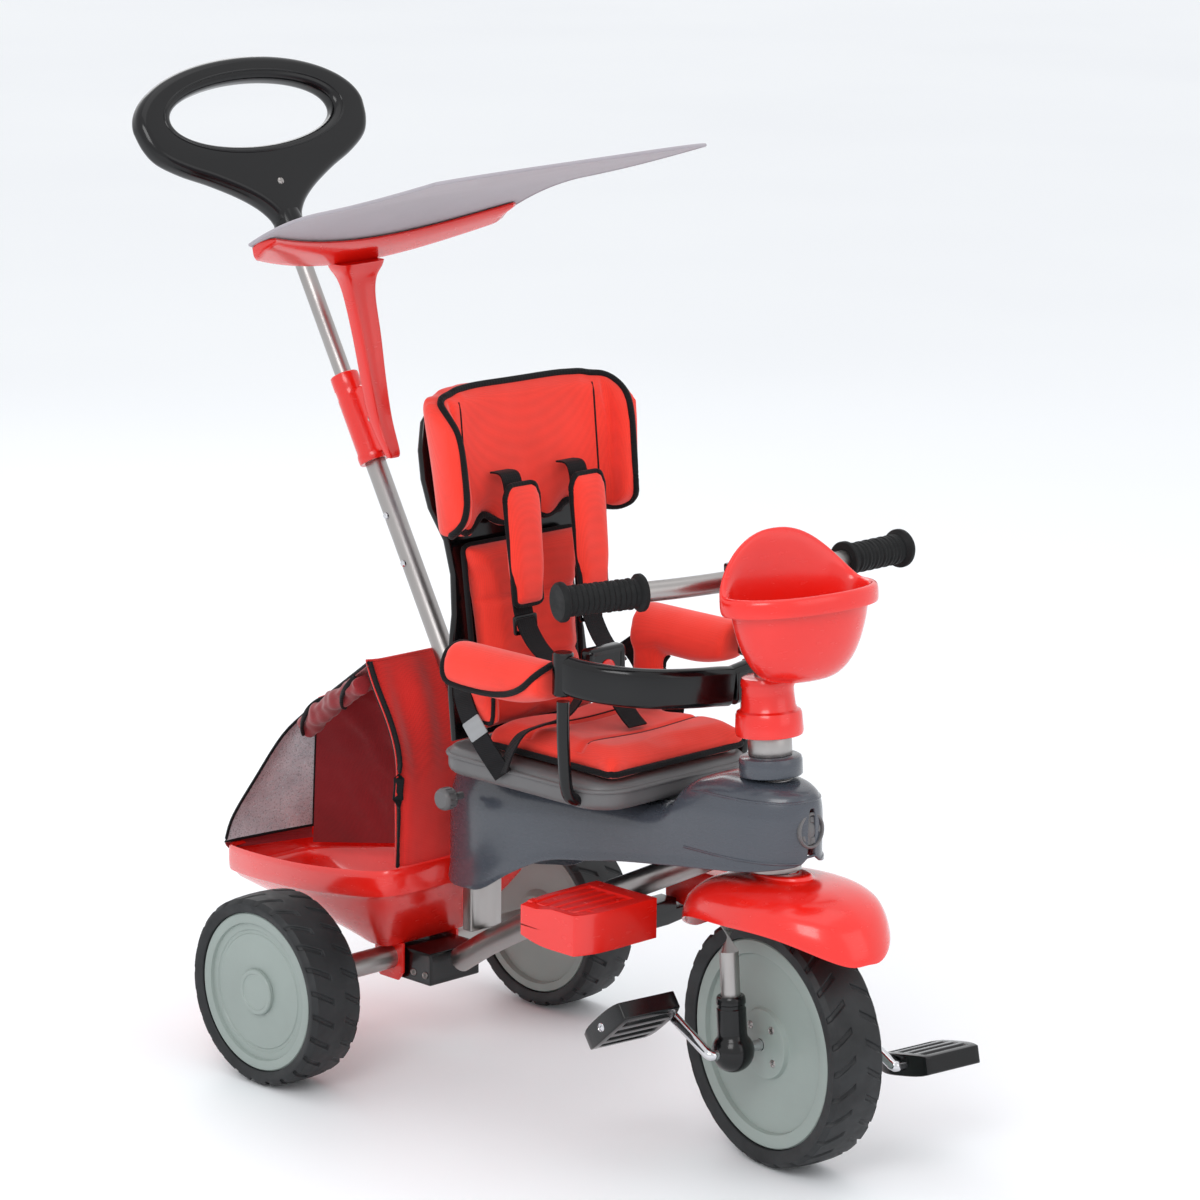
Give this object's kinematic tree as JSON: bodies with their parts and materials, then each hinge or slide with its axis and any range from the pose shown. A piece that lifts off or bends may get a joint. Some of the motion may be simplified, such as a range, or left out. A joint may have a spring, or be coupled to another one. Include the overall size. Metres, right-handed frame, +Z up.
{
  "type": "children's tricycle",
  "caption": "Parent-push tricycle for a small child, with sun canopy, padded seat with harness and safety ring, front basket and rear bucket.",
  "frame": {"origin": "on the floor, under the centre of the whole object's bounding box", "axes": "+X forwards, towards the front wheel; +Y to the rider's left; +Z up. At rest the steering is turned 9 degrees to the rider's right"},
  "size_m": [0.9643, 0.462, 1.0242],
  "materials": {
    "silver_steel": "satin silver",
    "chrome_steel": "polished",
    "black_plastic": "gloss black",
    "slate_plastic": "gloss blue grey",
    "red_plastic": "gloss red",
    "red_fabric": "woven red",
    "grey_plastic": "satin grey",
    "grey_mesh": "light grey mesh",
    "grey_canopy": "smooth pale grey",
    "black_webbing": "woven black",
    "pale_plastic": "pale greenish grey",
    "black_tyre": "matt black",
    "black_rubber": "matt black"
  },
  "bodies": {
    "frame": {"rear_axle_tube": "silver_steel", "rear_axle_rod": "silver_steel", "axle_block": "black_plastic", "main_tube": "silver_steel", "seat_post": "silver_steel", "footrest_bracket": "black_plastic", "body_shell": "slate_plastic", "head_tube": "silver_steel", "neck_ring": "slate_plastic", "push_bar_socket": "black_plastic", "rear_bucket": "red_plastic", "bag_hood": "red_fabric", "bag_mesh": "grey_mesh", "bag_side_flap": "red_fabric", "seat_base": "grey_plastic", "seat_cushion": "red_fabric", "seat_back_shell": "black_plastic", "back_pad": "red_fabric", "headrest": "red_fabric", "arm_pad_right": "red_fabric", "arm_pad_left": "red_fabric", "shoulder_strap_right": "black_webbing", "shoulder_strap_left": "black_webbing", "shoulder_pad_right": "red_fabric", "shoulder_pad_left": "red_fabric", "harness_buckle": "black_plastic", "crotch_strap": "black_webbing"},
    "steering": {"fork": "silver_steel", "fork_end_right": "black_plastic", "fork_end_left": "black_plastic", "steering_shaft": "silver_steel", "front_mudguard": "red_plastic", "column_ring": "silver_steel", "column_bell": "red_plastic", "front_basket": "red_plastic", "handlebar": "silver_steel", "handlebar_clamp": "black_plastic", "grip_right": "black_rubber", "grip_left": "black_rubber"},
    "front_wheel": {"front_tyre": "black_tyre", "front_disc": "pale_plastic", "crank_axle": "chrome_steel"},
    "right_pedal": {"pedal_right": "black_plastic"},
    "left_pedal": {"pedal_left": "black_plastic"},
    "rear_right_wheel": {"rear_right_tyre": "black_tyre", "rear_right_disc": "pale_plastic"},
    "rear_left_wheel": {"rear_left_tyre": "black_tyre", "rear_left_disc": "pale_plastic"},
    "right_footrest": {"footrest_right": "red_plastic"},
    "left_footrest": {"footrest_left": "red_plastic"},
    "right_ring": {"safety_ring_right": "black_plastic"},
    "left_ring": {"safety_ring_left": "black_plastic"},
    "knob": {"seat_knob": "grey_plastic"},
    "push_bar": {"push_bar_lower_tube": "silver_steel", "canopy_clamp_sleeve": "red_plastic", "canopy_post": "red_plastic", "canopy_holder": "red_plastic", "canopy_sheet": "grey_canopy"},
    "upper_bar": {"push_bar_upper_tube": "silver_steel", "push_handle": "black_plastic"}
  },
  "joints": [
    {"name": "fork_steer", "type": "hinge", "parent": "frame", "child": "steering", "pos_m": [0.3532, 0, 0.1253], "axis": [-0.0785, 0, 0.9969], "range_deg": [-21, 39]},
    {"name": "push_bar_turn", "type": "hinge", "parent": "frame", "child": "push_bar", "pos_m": [-0.0688, 0, 0.318], "axis": [-0.4985, 0, 0.8669], "range_deg": [-10.6, 19.6]},
    {"name": "handle_height", "type": "slide", "parent": "push_bar", "child": "upper_bar", "axis": [-0.4985, 0, 0.8669], "range_m": [-0.12, 0.05]},
    {"name": "front_wheel_spin", "type": "hinge", "parent": "steering", "child": "front_wheel", "pos_m": [0.3532, 0, 0.1253], "axis": [0.1559, 0.9877, 0.0123], "continuous": true},
    {"name": "right_pedal_spin", "type": "hinge", "parent": "front_wheel", "child": "right_pedal", "pos_m": [0.27231, -0.08475, 0.15127], "axis": [0.1559, 0.9877, 0.0123], "continuous": true},
    {"name": "left_pedal_spin", "type": "hinge", "parent": "front_wheel", "child": "left_pedal", "pos_m": [0.43409, 0.08475, 0.09933], "axis": [0.1559, 0.9877, 0.0123], "continuous": true},
    {"name": "rear_right_spin", "type": "hinge", "parent": "frame", "child": "rear_right_wheel", "pos_m": [-0.1738, -0.1985, 0.1], "axis": [0, 1, 0], "continuous": true},
    {"name": "rear_left_spin", "type": "hinge", "parent": "frame", "child": "rear_left_wheel", "pos_m": [-0.1738, 0.1985, 0.1], "axis": [0, 1, 0], "continuous": true},
    {"name": "right_footrest_fold", "type": "hinge", "parent": "frame", "child": "right_footrest", "pos_m": [0.1562, -0.0565, 0.231], "axis": [0, 0, -1], "range_deg": [0, 85]},
    {"name": "left_footrest_fold", "type": "hinge", "parent": "frame", "child": "left_footrest", "pos_m": [0.1562, 0.0565, 0.231], "axis": [0, 0, 1], "range_deg": [0, 85]},
    {"name": "right_ring_open", "type": "hinge", "parent": "frame", "child": "right_ring", "pos_m": [0.1762, -0.131, 0.484], "axis": [0, 0, -1], "range_deg": [0, 80]},
    {"name": "left_ring_open", "type": "hinge", "parent": "frame", "child": "left_ring", "pos_m": [0.1762, 0.131, 0.484], "axis": [0, 0, 1], "range_deg": [0, 80]},
    {"name": "seat_knob_turn", "type": "hinge", "parent": "frame", "child": "knob", "pos_m": [-0.0258, -0.0755, 0.312], "axis": [0, 1, 0], "continuous": true}
  ],
  "couplings": [
    {"joint": "push_bar_turn", "follows": "fork_steer", "ratio": 0.5}
  ]
}
